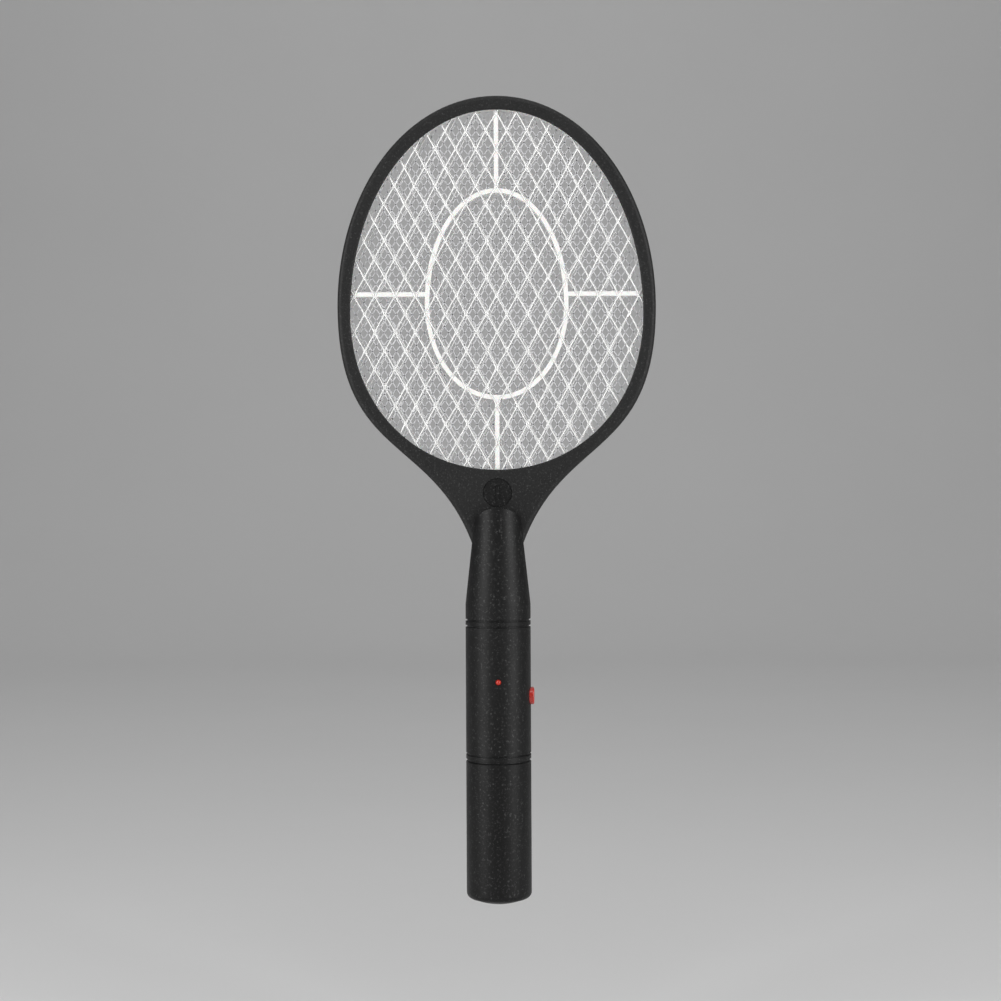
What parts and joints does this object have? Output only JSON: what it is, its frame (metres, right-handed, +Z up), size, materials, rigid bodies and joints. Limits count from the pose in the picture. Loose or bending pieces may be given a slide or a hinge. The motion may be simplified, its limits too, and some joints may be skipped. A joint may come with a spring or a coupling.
{
  "type": "electric fly swatter",
  "caption": "Battery-powered electric fly swatter: racket-shaped head with layered wire mesh and white ribs, round tapered handle with push button and lamp.",
  "frame": {"origin": "lowest point of the handle's domed end, on the handle's axis", "axes": "+Z up the handle to the crown of the head; -Y is the front with the lamp; +X is the side with the push button"},
  "size_m": [0.1736, 0.0362, 0.4405],
  "materials": {
    "black_abs": "moulded, fine satin texture",
    "tray_plastic": "moulded, matt",
    "white_plastic": "moulded, satin",
    "mesh_metal": "expanded sheet, bright",
    "screw_steel": "zinc plated",
    "contact_steel": "nickel plated",
    "red_plastic": "moulded, glossy",
    "red_lens": "clear tinted resin",
    "cell_wrap": "printed film wrap, no marks",
    "board_laminate": "paper laminate",
    "ferrite": "sintered",
    "copper_wire": "varnished winding under tape",
    "component_resin": "dipped resin",
    "component_black": "moulded epoxy",
    "resistor_body": "lacquered",
    "lead_jacket": "PVC insulation"
  },
  "bodies": {
    "swatter": {"front_frame": "black_abs", "rear_frame": "black_abs", "frame_screws": "screw_steel", "front_mesh": "mesh_metal", "rear_mesh": "mesh_metal", "centre_mesh": "mesh_metal", "front_spacer": "white_plastic", "rear_spacer": "white_plastic", "mesh_strap": "contact_steel", "medallion": "black_abs", "handle_front": "black_abs", "handle_rear": "black_abs", "handle_screws": "screw_steel", "battery_tray": "tray_plastic", "cell_left": "cell_wrap", "cell_right": "cell_wrap", "bridge_contact": "contact_steel", "terminal_plates": "contact_steel", "contact_springs": "contact_steel", "circuit_board": "board_laminate", "transformer_core": "ferrite", "transformer_winding": "copper_wire", "film_capacitor": "component_resin", "transistor": "component_black", "diodes": "component_black", "resistors": "resistor_body", "disc_capacitors": "component_resin", "lamp": "red_lens", "lamp_legs": "contact_steel", "switch_body": "component_black", "battery_leads": "lead_jacket", "centre_lead": "lead_jacket", "outer_lead": "lead_jacket"},
    "cap": {"battery_cap": "black_abs"},
    "button": {"push_button": "red_plastic", "switch_plunger": "component_black"}
  },
  "joints": [
    {"name": "button_press", "type": "slide", "parent": "swatter", "child": "button", "axis": [-1, 0, 0], "range_m": [0, 0.0012], "stiffness_N_per_m": 800},
    {"name": "cap_pull", "type": "slide", "parent": "swatter", "child": "cap", "axis": [0, 0, -1], "range_m": [0, 0.075]}
  ]
}
